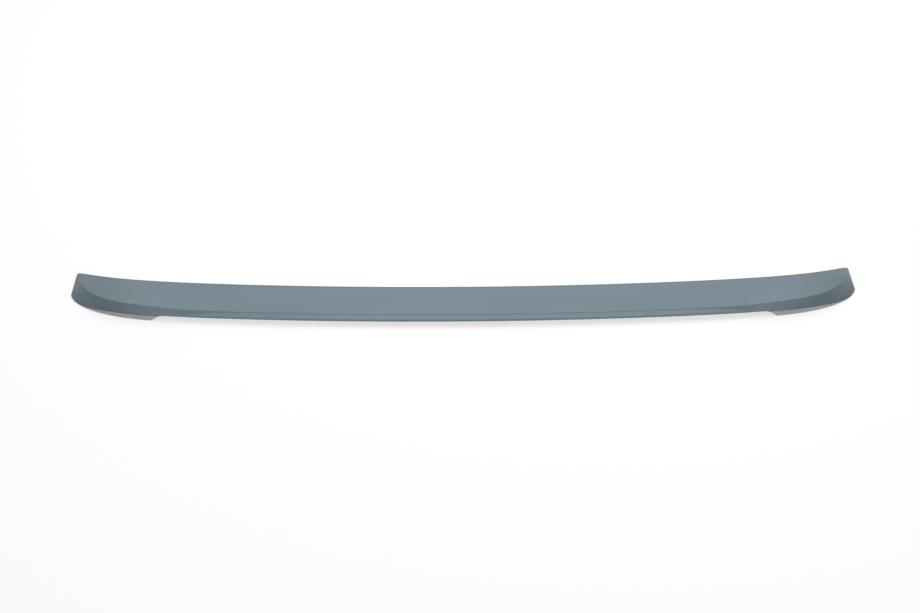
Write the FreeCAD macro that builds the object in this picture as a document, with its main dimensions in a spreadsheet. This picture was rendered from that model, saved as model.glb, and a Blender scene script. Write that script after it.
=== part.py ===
# A slim lip spoiler that is bonded along the rear edge of a car's boot lid.
# It is one thin-walled moulding: a long top blade, a stepped rear edge, and two swept ends
# whose steep rear faces stand on feet. It lies on its feet with +Z up, the car's forward
# direction along +Y and the middle of the car at X = 0.
import FreeCAD, Part
import Sketcher
import math
import os

doc = FreeCAD.newDocument("boot_lid_spoiler")

# Driving dimensions, in millimetres.
DIMENSIONS = {
    "overall_width": 1180,      # tip to tip
    "centre_depth": 81,         # front edge to rear edge at the middle
    "end_depth": 64.5,          # the same at the tips, before the corner is drawn in
    "corner_draw": 7,           # how far the rear corner of each tip is drawn in
    "front_bow": 30,            # forward sweep of the front edge from the middle to the tips
    "tip_sweep": 24.5,          # extra forward sweep in the last part of each end
    "front_draw": 2.5,          # how far the front corner of each tip is rounded back
    "arch_height": 9,           # underside of the middle span above the floor
    "nose_thickness": 2.5,      # front edge at the middle
    "nose_radius": 1.2,         # rounding of the front edge
    "tip_front_height": 3.2,    # top of the front edge above the floor at the tips
    "crest_thickness": 7.1,     # crest above the underside at the middle
    "crest_rise": 10.8,         # climb of the crest towards the ends
    "tip_crest_height": 6,      # crest above the floor at the tips
    "crest_radius": 0.7,        # rounding of the crest at the middle
    "crest_soften": 10,         # added rounding of the crest at the tips
    "step_run": 0.9,            # depth of the steep step below the crest
    "end_run": 54,              # added depth of the steep face where it turns round the tip
    "ledge_depth": 7.6,         # ledge between the step and the rear edge, at the middle
    "least_ledge": 0.4,         # what is left of it at the ends
    "ledge_reach": 428,         # distance from the middle where it gives way to the climbing crest
    "ledge_fall": 2.4,          # how much the ledge falls towards the rear edge
    "edge_drop": 1.3,           # underside of the rear edge above that of the middle span
    "edge_thickness": 2,        # height of the rear edge's own face
    "edge_radius": 1,           # rounding of the rear edge
    "tip_edge_height": 0.8,     # underside of the rear edge above the floor at the tips
    "foot_flare": 2,            # how far a full-height foot spreads out behind the rear edge
    "foot_length": 128,         # from the tip to the inner end of a foot
    "foot_round": 4,            # rounding of a foot's inner end on the floor
    "notch_run": 14,            # length of the slope at the inner end of a foot
    "notch_radius": 20,         # curve that joins that slope to the middle span
    "wall": 3,                  # top blade over the hollow underside
    "front_land": 18,           # flat bonding land behind the front edge
    "rear_land": 12,            # flat bonding land ahead of the rear edge
    "end_wall": 20,             # solid length at each tip
    "rib_thickness": 2,
    "rib_pitch": 80,
    "rib_inset": 0.5,           # ribs stop this far above the underside
}
sheet = doc.addObject("Spreadsheet::Sheet", "Sizes")
for row, (alias, value) in enumerate(DIMENSIONS.items(), start=1):
    sheet.set(f"A{row}", alias)
    sheet.set(f"B{row}", str(value))
    sheet.setAlias(f"B{row}", alias)
doc.recompute()

HALF_SPAN = "(Sizes.overall_width / 2)"
FRONT_AT_MIDDLE = "((Sizes.centre_depth - Sizes.front_bow - Sizes.tip_sweep + Sizes.front_draw) / 2)"
BELOW_FLOOR = "(-2 * Sizes.wall)"       # sections reach past the floor and are trimmed on it
BITE = "(Sizes.wall / 6)"               # ribs run this far into the walls they join

body = doc.addObject("PartDesign::Body", "SpoilerBody")
body.Label = "spoiler_body"


def origin_plane(role):
    return next(feature for feature in body.Origin.OriginFeatures if feature.Role == role)


def sketch_on(role, name, offset="0"):
    """An empty sketch on one of the body's own planes, moved along its normal."""
    sketch = body.newObject("Sketcher::SketchObject", name)
    sketch.AttachmentSupport = [(origin_plane(role), "")]
    sketch.MapMode = "FlatFace"
    sketch.setExpression("AttachmentOffset.Base.z", offset)
    return sketch


def value_of(sketch, expression):
    return float(sketch.evalExpression(expression))


def pin(sketch, geometry, point, across, up):
    """Tie a point of the sketch to two expressions, along the sketch's own axes."""
    for kind, expression in (("DistanceX", across), ("DistanceY", up)):
        size = value_of(sketch, expression)
        index = sketch.addConstraint(Sketcher.Constraint(kind, -1, 1, geometry, point, size))
        sketch.setExpression(f"Constraints[{index}]", expression)


def outline(sketch, corners):
    """Draw a closed outline. A corner is two expressions for its place, and a third for the
    radius if it is rounded; the rounding is an arc tangent to both sides."""
    places = [FreeCAD.Vector(value_of(sketch, c[0]), value_of(sketch, c[1]), 0) for c in corners]
    count = len(corners)
    arrive = list(places)
    leave = list(places)
    middle = list(places)
    for i, corner in enumerate(corners):
        if len(corner) == 3:
            back = (places[i - 1] - places[i]).normalize()
            ahead = (places[(i + 1) % count] - places[i]).normalize()
            radius = value_of(sketch, corner[2])
            bisector = (back + ahead).normalize()
            half_turn = back.getAngle(ahead) / 2
            tangent = radius / math.tan(half_turn)
            centre_distance = (radius ** 2 + tangent ** 2) ** 0.5
            arrive[i] = places[i] + back * tangent
            leave[i] = places[i] + ahead * tangent
            middle[i] = places[i] + bisector * (centre_distance - radius)
    for i in range(count):
        sketch.addGeometry(Part.LineSegment(leave[i], arrive[(i + 1) % count]))
    for i, corner in enumerate(corners):
        before = (i - 1) % count
        if len(corner) == 2:
            sketch.addConstraint(Sketcher.Constraint("Coincident", before, 2, i, 1))
            pin(sketch, i, 1, corner[0], corner[1])
            continue
        arc = sketch.addGeometry(Part.Arc(arrive[i], middle[i], leave[i]))
        first, last = (1, 2) if sketch.getPoint(arc, 1).isEqual(arrive[i], 1e-4) else (2, 1)
        sketch.addConstraint(Sketcher.Constraint("Tangent", before, 2, arc, first))
        sketch.addConstraint(Sketcher.Constraint("Tangent", arc, last, i, 1))
        index = sketch.addConstraint(
            Sketcher.Constraint("Radius", arc, value_of(sketch, corner[2])))
        sketch.setExpression(f"Constraints[{index}]", corner[2])
        tip = sketch.addGeometry(Part.Point(places[i]), True)
        sketch.addConstraint(Sketcher.Constraint("PointOnObject", tip, 1, before))
        sketch.addConstraint(Sketcher.Constraint("PointOnObject", tip, 1, i))
        pin(sketch, tip, 1, corner[0], corner[1])


class Section:
    """Expressions for the section at a share of the half span, 0 at the middle and 1 at a tip.
    Low powers bend the whole span, and high powers act only near the tips."""

    def __init__(self, share):
        fading = f"(1 + ({share} * {HALF_SPAN} / Sizes.ledge_reach)^16)"
        ledge = f"(Sizes.least_ledge + (Sizes.ledge_depth - Sizes.least_ledge) / {fading}^2)"
        climb = f"(Sizes.crest_rise * (1 - 1 / {fading}))"
        sharp_front = (f"({FRONT_AT_MIDDLE} + Sizes.front_bow * {share}^2"
                       f" + Sizes.tip_sweep * {share}^10)")
        self.front = f"({sharp_front} - Sizes.front_draw * {share}^110)"
        sharp_rear = (f"({sharp_front} - Sizes.centre_depth"
                      f" + (Sizes.centre_depth - Sizes.end_depth) * {share}^16)")
        self.rear = f"({sharp_rear} + Sizes.corner_draw * {share}^90)"
        self.step = f"({self.rear} + {ledge})"
        self.crest = f"({sharp_rear} + {ledge} + Sizes.step_run + Sizes.end_run * {share}^28)"
        front_top = "(Sizes.arch_height + Sizes.nose_thickness)"
        self.front_top = f"({front_top} - ({front_top} - Sizes.tip_front_height) * {share}^10)"
        crest_top = "(Sizes.arch_height + Sizes.crest_thickness)"
        self.crest_top = (f"({crest_top} + {climb} - ({crest_top} + {climb}"
                          f" - Sizes.tip_crest_height) * {share}^40)")
        edge_low = "(Sizes.arch_height + Sizes.edge_drop)"
        self.edge_low = f"({edge_low} - ({edge_low} - Sizes.tip_edge_height) * {share}^9)"
        self.edge_top = f"({self.edge_low} + Sizes.edge_thickness)"
        self.step_low = f"({self.edge_top} + Sizes.ledge_fall * (1 - 0.75 * {share}^24))"
        self.foot = f"({self.rear} - Sizes.foot_flare * ({self.edge_low} - {BELOW_FLOOR}) / {edge_low})"
        self.crest_radius = f"(Sizes.crest_radius + Sizes.crest_soften * {share}^30)"

    def hollow_rear(self):
        """Rear side of the hollow: ahead of the bonding land, and of the crest where that turns in."""
        return f"max({self.rear} + Sizes.rear_land; {self.crest} + Sizes.wall + {self.crest_radius} / 2)"

    def roof(self, across):
        """Height of the hollow's roof, one wall below the top blade."""
        slope = f"(({self.crest_top} - {self.front_top}) / ({self.front} - {self.crest}))"
        return f"({self.front_top} + {slope} * ({self.front} - {across}) - Sizes.wall)"


# The outside is a loft through sections across the span, closer together where the crest
# climbs and where the ends sweep forward, soften and drop.
STATIONS = [0, 0.3, 0.45, 0.54, 0.61, 0.66, 0.71, 0.76, 0.81, 0.87, 0.92, 0.955, 0.98, 0.991, 1]
both_ways = [-share for share in reversed(STATIONS[1:])] + STATIONS
outside_sketches = []
for number, share in enumerate(both_ways):
    sketch = sketch_on("YZ_Plane", f"OutsideSection{number}", f"{share} * {HALF_SPAN}")
    cut = Section(abs(share))
    outline(sketch, [
        (cut.front, BELOW_FLOOR),
        (cut.front, cut.front_top, "Sizes.nose_radius"),
        (cut.crest, cut.crest_top, cut.crest_radius),
        (cut.step, cut.step_low),
        (cut.rear, cut.edge_top, "Sizes.edge_radius"),
        (cut.rear, cut.edge_low),
        (cut.foot, BELOW_FLOOR),
    ])
    outside_sketches.append(sketch)
outside = body.newObject("PartDesign::AdditiveLoft", "Outside")
outside.Profile = outside_sketches[0]
outside.Sections = outside_sketches[1:]
doc.recompute()

# The underside is trimmed flat on the floor, and the middle span is raised between the feet.
# The inner end of each foot slopes up and runs into the middle span in a curve.
underside = sketch_on("XZ_Plane", "UndersideOutline")
past_tip = f"({HALF_SPAN} + Sizes.wall)"
foot_end = f"({HALF_SPAN} - Sizes.foot_length)"
notch_top = f"({foot_end} - Sizes.notch_run)"
outline(underside, [
    (f"-{past_tip}", BELOW_FLOOR),
    (past_tip, BELOW_FLOOR),
    (past_tip, "0"),
    (foot_end, "0", "Sizes.foot_round"),
    (notch_top, "Sizes.arch_height", "Sizes.notch_radius"),
    (f"-{notch_top}", "Sizes.arch_height", "Sizes.notch_radius"),
    (f"-{foot_end}", "0", "Sizes.foot_round"),
    (f"-{past_tip}", "0"),
])
underside_cut = body.newObject("PartDesign::Pocket", "Underside")
underside_cut.Profile = underside
underside_cut.Midplane = True
underside_cut.Type = "ThroughAll"
doc.recompute()

# The underside is hollow: one wall stays below the top blade, with a bonding land along the
# front and the rear edge and a solid stretch at each tip.
HOLLOW_STATIONS = [0, 0.35, 0.55, 0.66, 0.73, 0.8, 0.87, 0.94, 1]
both_ways = [-share for share in reversed(HOLLOW_STATIONS[1:])] + HOLLOW_STATIONS
hollow_share = f"(1 - Sizes.end_wall / {HALF_SPAN})"
hollow_sketches = []
for number, share in enumerate(both_ways):
    sketch = sketch_on("YZ_Plane", f"HollowSection{number}", f"{share} * {hollow_share} * {HALF_SPAN}")
    cut = Section(f"({abs(share)} * {hollow_share})")
    ahead = f"({cut.front} - Sizes.front_land)"
    behind = cut.hollow_rear()
    outline(sketch, [
        (ahead, BELOW_FLOOR),
        (ahead, cut.roof(ahead)),
        (behind, cut.roof(behind)),
        (behind, BELOW_FLOOR),
    ])
    hollow_sketches.append(sketch)
hollow = body.newObject("PartDesign::SubtractiveLoft", "HollowUnderside")
hollow.Profile = hollow_sketches[0]
hollow.Sections = hollow_sketches[1:]
doc.recompute()

# Thin ribs cross the hollow at an even pitch and stop just above the underside.
half_hollow = (sheet.overall_width / 2) - sheet.end_wall
rib_count = int(half_hollow / sheet.rib_pitch)
for side in (-1, 1):
    for number in range(rib_count):
        place = f"(({number} + 0.5) * Sizes.rib_pitch)"
        name = f"{'Left' if side < 0 else 'Right'}Rib{number + 1}"
        sketch = sketch_on("YZ_Plane", name + "Outline", f"{side} * {place}")
        cut = Section(f"({place} / {HALF_SPAN})")
        ahead = f"({cut.front} - Sizes.front_land + {BITE})"
        behind = f"({cut.hollow_rear()} - {BITE})"
        lowest = "(Sizes.arch_height + Sizes.rib_inset)"
        outline(sketch, [
            (ahead, f"min({lowest}; {cut.roof(ahead)})"),
            (ahead, f"({cut.roof(ahead)} + {BITE})"),
            (behind, f"({cut.roof(behind)} + {BITE})"),
            (behind, lowest),
        ])
        rib = body.newObject("PartDesign::Pad", name)
        rib.Profile = sketch
        rib.Midplane = True
        rib.setExpression("Length", "Sizes.rib_thickness")
doc.recompute()

failed = [item.Name for item in doc.Objects if "Invalid" in item.State or "Error" in item.State]
if failed:
    raise RuntimeError("these did not build: " + ", ".join(failed))
if body.Shape.isNull() or not body.Shape.isValid() or len(body.Shape.Solids) != 1:
    raise RuntimeError("the spoiler body is not one valid solid")

os.makedirs("parts", exist_ok=True)
body.Shape.exportStep(f"parts/{body.Label}.step")
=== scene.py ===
import math
import bpy
from mathutils import Matrix, Vector


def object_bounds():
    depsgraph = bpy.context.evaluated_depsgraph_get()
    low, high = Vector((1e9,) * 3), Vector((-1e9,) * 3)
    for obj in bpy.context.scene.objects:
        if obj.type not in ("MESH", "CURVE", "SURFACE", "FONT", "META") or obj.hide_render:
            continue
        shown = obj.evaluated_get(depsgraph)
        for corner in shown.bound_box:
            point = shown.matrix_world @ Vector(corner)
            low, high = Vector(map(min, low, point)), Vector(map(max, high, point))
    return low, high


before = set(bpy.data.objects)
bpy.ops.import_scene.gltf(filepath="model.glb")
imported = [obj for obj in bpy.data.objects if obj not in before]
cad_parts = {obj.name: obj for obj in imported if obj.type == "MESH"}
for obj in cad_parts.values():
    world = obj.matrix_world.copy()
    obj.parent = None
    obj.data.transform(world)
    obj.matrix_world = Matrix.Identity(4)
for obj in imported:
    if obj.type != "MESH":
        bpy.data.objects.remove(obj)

cad_low, cad_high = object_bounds()

# The spoiler: one thin moulding in light grey plastic, sprayed from above with satin blue-grey
# primer. The spray stops in a soft line along the rear edge, so the feet and the hollow underside,
# which are bonded to the boot lid, stay bare.


def new_material(name):
    """A new material, with its nodes, its links and its shader."""
    material = bpy.data.materials.new(name)
    material.use_nodes = True
    tree = material.node_tree
    return material, tree.nodes, tree.links, tree.nodes["Principled BSDF"]


# The helpers below add their nodes to whatever nodes and links were set to last.
primer, nodes, links, shader = new_material("sprayed_primer_over_plastic")


def feed(socket, value):
    """Join a socket to another node's output, or set it to a plain value."""
    if isinstance(value, bpy.types.NodeSocket):
        links.new(value, socket)
    else:
        socket.default_value = value


def calc(operation, first, second=0.0, third=0.0):
    """The result of a sum, whose terms are numbers or other nodes' outputs."""
    node = nodes.new("ShaderNodeMath")
    node.operation = operation
    for socket, value in zip(node.inputs, (first, second, third)):
        feed(socket, value)
    return node.outputs[0]


def fade(value, start, end, low=0.0, high=1.0):
    """Go smoothly from low to high while the value goes from start to end."""
    node = nodes.new("ShaderNodeMapRange")
    node.interpolation_type = "SMOOTHSTEP"
    for name, number in (("Value", value), ("From Min", start), ("From Max", end),
                         ("To Min", low), ("To Max", high)):
        feed(node.inputs[name], number)
    return node.outputs["Result"]


def grain(size, detail=2.0, roughness=0.5, length=1.0):
    """Noise whose grains are about this many metres across, and so many times longer along the span."""
    stretch = nodes.new("ShaderNodeVectorMath")
    stretch.operation = "MULTIPLY"
    links.new(places.outputs["Object"], stretch.inputs[0])
    stretch.inputs[1].default_value = (1.0 / length, 1.0, 1.0)
    node = nodes.new("ShaderNodeTexNoise")
    links.new(stretch.outputs[0], node.inputs["Vector"])
    node.inputs["Scale"].default_value = 1.0 / size
    node.inputs["Detail"].default_value = detail
    node.inputs["Roughness"].default_value = roughness
    return node.outputs["Fac"]


def mean(first, second, second_share):
    """Two grains added up, with this share of the second."""
    return calc("MULTIPLY_ADD", second, second_share, calc("MULTIPLY", first, 1.0 - second_share))


def blend(amount, first, second):
    """The first colour where the amount is nought, and the second where it is one."""
    node = nodes.new("ShaderNodeMix")
    node.data_type = "RGBA"
    feed(node.inputs["Factor"], amount)
    for name, colour in (("A", first), ("B", second)):
        socket = next(s for s in node.inputs if s.name == name and s.type == "RGBA")
        feed(socket, colour if isinstance(colour, bpy.types.NodeSocket) else (*colour, 1.0))
    return next(s for s in node.outputs if s.type == "RGBA")


places = nodes.new("ShaderNodeTexCoord")
position = nodes.new("ShaderNodeSeparateXYZ")
links.new(places.outputs["Object"], position.inputs[0])
across, along, height = position.outputs
facing = nodes.new("ShaderNodeSeparateXYZ")
links.new(places.outputs["Normal"], facing.inputs[0])
facing_up = facing.outputs["Z"]

# The rim is a narrow band along the outline, whose tips sweep forward. The spray wraps round the
# rim. Elsewhere it only reached faces that look up, so the walls and ribs of the hollow have none.
half_span = (cad_high[0] - cad_low[0]) / 2
front_at_middle = 0.0145      # Y of the front edge at the middle
front_bow = 0.030             # how far forward its even bow brings the tips
bow_power = 2.0
tip_sweep = 0.0245            # how much further the last stretch sweeps them
sweep_power = 10.0
middle_depth = 0.081          # from the front edge to the rear edge
end_depth = 0.0645
taper_power = 16.0
rim_width = 0.008
rim_blur = 0.001
least_up_at_rim = -0.45       # faces there that look further down than this get no primer
least_up_inside = 0.1
least_up_blur = 0.1
share = calc("DIVIDE", calc("ABSOLUTE", across), half_span)
bow = calc("MULTIPLY", calc("POWER", share, bow_power), front_bow)
sweep = calc("MULTIPLY", calc("POWER", share, sweep_power), tip_sweep)
front_edge = calc("ADD", calc("ADD", bow, sweep), front_at_middle)
taper = calc("POWER", share, taper_power)
depth = calc("MULTIPLY_ADD", taper, end_depth - middle_depth, middle_depth)
from_front = calc("SUBTRACT", front_edge, along)
from_rear = calc("SUBTRACT", depth, from_front)
from_end = calc("SUBTRACT", half_span, calc("ABSOLUTE", across))
rear_rim = fade(from_rear, rim_width, rim_width - rim_blur)
front_rim = fade(calc("MINIMUM", from_front, from_end), rim_width, rim_width - rim_blur)
rim = calc("MAXIMUM", rear_rim, front_rim)
least_up = calc("MULTIPLY_ADD", rim, least_up_at_rim - least_up_inside, least_up_inside)
faces_spray = fade(facing_up, least_up, calc("ADD", least_up, least_up_blur))

# Along the rear rim it also stops at a line, which follows the edge and lies a little lower between
# the feet. A fine mist of stray drops went past the line.
edge_at_middle = 0.0103       # height of the rear edge's underside at the middle
edge_at_tip = 0.0008
edge_power = 9.0
tip_power = 20.0              # brings the line down to the floor at the very tip
foot_share = 0.783            # inner end of a foot, as a share of the half span
spray_dip = 0.0016            # how much lower the primer ends between the feet
dip_starts = foot_share + 0.12
dip_full = foot_share + 0.02
spray_blur = 0.0006           # width over which the primer thins out
spray_wander = 0.0008         # how much its line wanders
wander_size = 0.02
mist_reach = 0.005            # how far the stray drops reach below the line
mist_size = 0.0004
mist_range = (0.52, 0.68)
mist_most = 0.55
edge_drop = calc("POWER", share, edge_power)
edge_line = calc("MULTIPLY_ADD", edge_drop, edge_at_tip - edge_at_middle, edge_at_middle)
tip_line = calc("MULTIPLY", edge_line, calc("SUBTRACT", 1.0, calc("POWER", share, tip_power)))
dip = fade(share, dip_starts, dip_full, 0.0, spray_dip)
wander = calc("SUBTRACT", grain(wander_size), 0.5)
spray_line = calc("SUBTRACT", calc("MULTIPLY_ADD", wander, spray_wander, tip_line), dip)
below_line = calc("SUBTRACT", spray_line, height)
mist = fade(grain(mist_size, detail=1.0), *mist_range)
stray = calc("MULTIPLY", fade(below_line, mist_reach, 0.0, 0.0, mist_most), mist)
at_rear = calc("MAXIMUM", fade(below_line, spray_blur, 0.0), stray)
sprayed = calc("MULTIPLY", faces_spray, calc("MAXIMUM", at_rear, calc("SUBTRACT", 1.0, rear_rim)))

# The coat is painted darker at the tips and in a thin line along the front edge, as painted shade,
# and painted lighter on steep faces, as painted light that stands in for the light they miss overhead.
primer_colour = (0.155, 0.207, 0.241)
primer_thick = (0.143, 0.193, 0.226)
primer_painted_shade = (0.113, 0.151, 0.176)
primer_painted_light = (0.240, 0.320, 0.373)
primer_fleck = (0.185, 0.245, 0.284)
streak_size = 0.03            # width of the streaks that the passes leave
streak_length = 7.0           # how many times longer they are
speck_size = 0.0012
speck_in_streaks = 0.35
mottle_range = (0.35, 0.65)   # the middle of a grain's range, where most of it lies
fleck_size = 0.0007
fleck_range = (0.56, 0.7)
fleck_most = 0.8
tip_shade_range = (0.80, 0.97)  # shares of the half span
tip_shade_most = 0.9
front_shade_width = 0.0028             # width of the painted shade line along the front edge
front_shade_blur = 0.001
steep_range = (0.9, 0.5)      # upward part of the normal, from level enough to steep
painted_light_span_range = (0.9, 0.74)     # shares of the half span
painted_light_at_tip = 0.32
streaks = grain(streak_size, detail=3.0, length=streak_length)
speck = grain(speck_size, roughness=0.6)
mottle = mean(streaks, speck, speck_in_streaks)
smooth_coat = blend(fade(mottle, *mottle_range), primer_colour, primer_thick)
fleck = fade(grain(fleck_size, detail=1.0), *fleck_range, 0.0, fleck_most)
even_coat = blend(fleck, smooth_coat, primer_fleck)
# Painted shade: a darker colour at the tips and in a thin line along the front edge.
tip_painted_shade = fade(share, *tip_shade_range, 0.0, tip_shade_most)
front_edge_painted_shade = fade(from_front, front_shade_width + front_shade_blur, front_shade_width)
painted_shade_coat = blend(calc("MAXIMUM", tip_painted_shade, front_edge_painted_shade), even_coat, primer_painted_shade)
# Painted light: steep faces get a lighter colour in place of the light they miss from above, less of it
# near the tips.
steep_painted_light = calc("MULTIPLY", fade(facing_up, *steep_range), fade(share, *painted_light_span_range, painted_light_at_tip, 1.0))
primer_mix = blend(steep_painted_light, painted_shade_coat, primer_painted_light)

# The bare plastic is a little cloudy, and duller than the satin primer.
bare_colour = (0.63, 0.63, 0.62)
bare_shade = (0.58, 0.58, 0.57)
cloud_size = 0.012
speck_in_clouds = 0.5
gloss_range = (0.3, 0.7)      # the part of a grain's range that changes the gloss
satin_range = (0.46, 0.54)    # roughness of the primer
dull_range = (0.58, 0.68)     # roughness of the plastic
soft_shine = 0.35
clouds = mean(grain(cloud_size, detail=3.0), speck, speck_in_clouds)
bare_mix = blend(fade(clouds, *mottle_range), bare_colour, bare_shade)
links.new(blend(sprayed, bare_mix, primer_mix), shader.inputs["Base Color"])
satin = fade(streaks, *gloss_range, *satin_range)
dull = fade(speck, *gloss_range, *dull_range)
roughness = calc("MULTIPLY_ADD", sprayed, calc("SUBTRACT", satin, dull), dull)
links.new(roughness, shader.inputs["Roughness"])
shader.inputs["Specular IOR Level"].default_value = soft_shine

# Primer dries with a fine orange peel, and the bare plastic has a mould's faint grain.
peel_size = 0.0032
peel_depth = 0.0004
peel_strength = 0.3
speck_in_peel = 0.4
peel = calc("MULTIPLY_ADD", speck, speck_in_peel, grain(peel_size, detail=1.0))
relief = nodes.new("ShaderNodeBump")
relief.inputs["Strength"].default_value = peel_strength
relief.inputs["Distance"].default_value = peel_depth
links.new(peel, relief.inputs["Height"])
links.new(relief.outputs["Normal"], shader.inputs["Normal"])

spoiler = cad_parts["spoiler_body"]
spoiler.data.materials.clear()
spoiler.data.materials.append(primer)

# The floor: a wide sheet of white paper. The camera sees a plain white that keeps the spoiler's
# soft contact shadow, and the paper throws less light back at the spoiler than such a white would.
floor_reach = 12.0
floor_level = -0.0002         # a hair below the feet
paper_bounce = (0.58, 0.58, 0.58, 1.0)
paper_roughness = 0.9
paper_white = (1.0, 1.0, 1.0, 1.0)
plain_share = 0.68            # share of the white that no shadow darkens
corners = [(side * floor_reach, end * floor_reach, floor_level)
           for side, end in ((-1, -1), (1, -1), (1, 1), (-1, 1))]
floor_mesh = bpy.data.meshes.new("studio_floor")
floor_mesh.from_pydata(corners, [], [(0, 1, 2, 3)])
floor = bpy.data.objects.new("studio_floor", floor_mesh)
bpy.context.scene.collection.objects.link(floor)
paper, nodes, links, shader = new_material("white_paper")
shader.inputs["Base Color"].default_value = paper_bounce
shader.inputs["Roughness"].default_value = paper_roughness


def seen_directly():
    """One for what the camera sees straight, mirrored or through glass, and nought for other light."""
    rays = nodes.new("ShaderNodeLightPath")
    mirrored = calc("MAXIMUM", rays.outputs["Is Glossy Ray"], rays.outputs["Is Transmission Ray"])
    return calc("MAXIMUM", rays.outputs["Is Camera Ray"], mirrored)


glow = nodes.new("ShaderNodeEmission")
glow.inputs["Strength"].default_value = 1.0
shadowed = nodes.new("ShaderNodeBsdfDiffuse")
shadowed.inputs["Color"].default_value = paper_white
whitened = nodes.new("ShaderNodeMixShader")
whitened.inputs["Fac"].default_value = plain_share
links.new(shadowed.outputs[0], whitened.inputs[1])
links.new(glow.outputs[0], whitened.inputs[2])
choice = nodes.new("ShaderNodeMixShader")
links.new(seen_directly(), choice.inputs["Fac"])
links.new(shader.outputs[0], choice.inputs[1])
links.new(whitened.outputs[0], choice.inputs[2])
links.new(choice.outputs[0], nodes["Material Output"].inputs["Surface"])
floor_mesh.materials.append(paper)

# The light: an even white room, seen brighter than the light that it gives, and one large softbox
# that hangs overhead, a little towards the front of the car, and shines straight down.
room_white = (1.0, 1.0, 1.0, 1.0)
room_light = 0.4
room_seen = 0.8
softbox_width = 1.6
softbox_length = 3.0
softbox_watts = 54
softbox_place = (0.2, 0.9, 2.3)
world = bpy.data.worlds.new("studio_world")
bpy.context.scene.world = world
world.use_nodes = True
nodes = world.node_tree.nodes
links = world.node_tree.links
room = nodes["Background"]
room.inputs["Color"].default_value = room_white
brightness = calc("MULTIPLY_ADD", seen_directly(), room_seen - room_light, room_light)
links.new(brightness, room.inputs["Strength"])

softbox_data = bpy.data.lights.new("overhead_softbox", "AREA")
softbox_data.shape = "RECTANGLE"
softbox_data.size = softbox_width
softbox_data.size_y = softbox_length
softbox_data.energy = softbox_watts
softbox = bpy.data.objects.new("overhead_softbox", softbox_data)
softbox.location = softbox_place
bpy.context.scene.collection.objects.link(softbox)

# The view: a camera almost on the middle line of the car, behind the spoiler and well above it,
# as for a catalogue. The whole span fills most of the frame's width.
camera_elevation = math.radians(38.0)
camera_azimuth = math.radians(-0.68)
camera_roll = math.radians(-0.02)
camera_distance = 2.17
camera_lens = 57.0            # millimetres, and so is the sensor's width
camera_sensor = 36.0
looks_at = Vector((-0.0064, -0.0195, 0.0))
backward = Vector((
    math.sin(camera_azimuth) * math.cos(camera_elevation),
    -math.cos(camera_azimuth) * math.cos(camera_elevation),
    math.sin(camera_elevation),
))
sideways = (-backward).cross(Vector((0, 0, 1))).normalized()
upward = sideways.cross(-backward)
turn = Matrix.Rotation(camera_roll, 3, backward)
axes = Matrix((turn @ sideways, turn @ upward, backward)).transposed()
camera_data = bpy.data.cameras.new("photo_camera")
camera_data.sensor_width = camera_sensor
camera_data.lens = camera_lens
camera = bpy.data.objects.new("photo_camera", camera_data)
camera.matrix_world = Matrix.Translation(looks_at + backward * camera_distance) @ axes.to_4x4()
bpy.context.scene.collection.objects.link(camera)
bpy.context.scene.camera = camera
bpy.context.scene.view_settings.view_transform = "Standard"
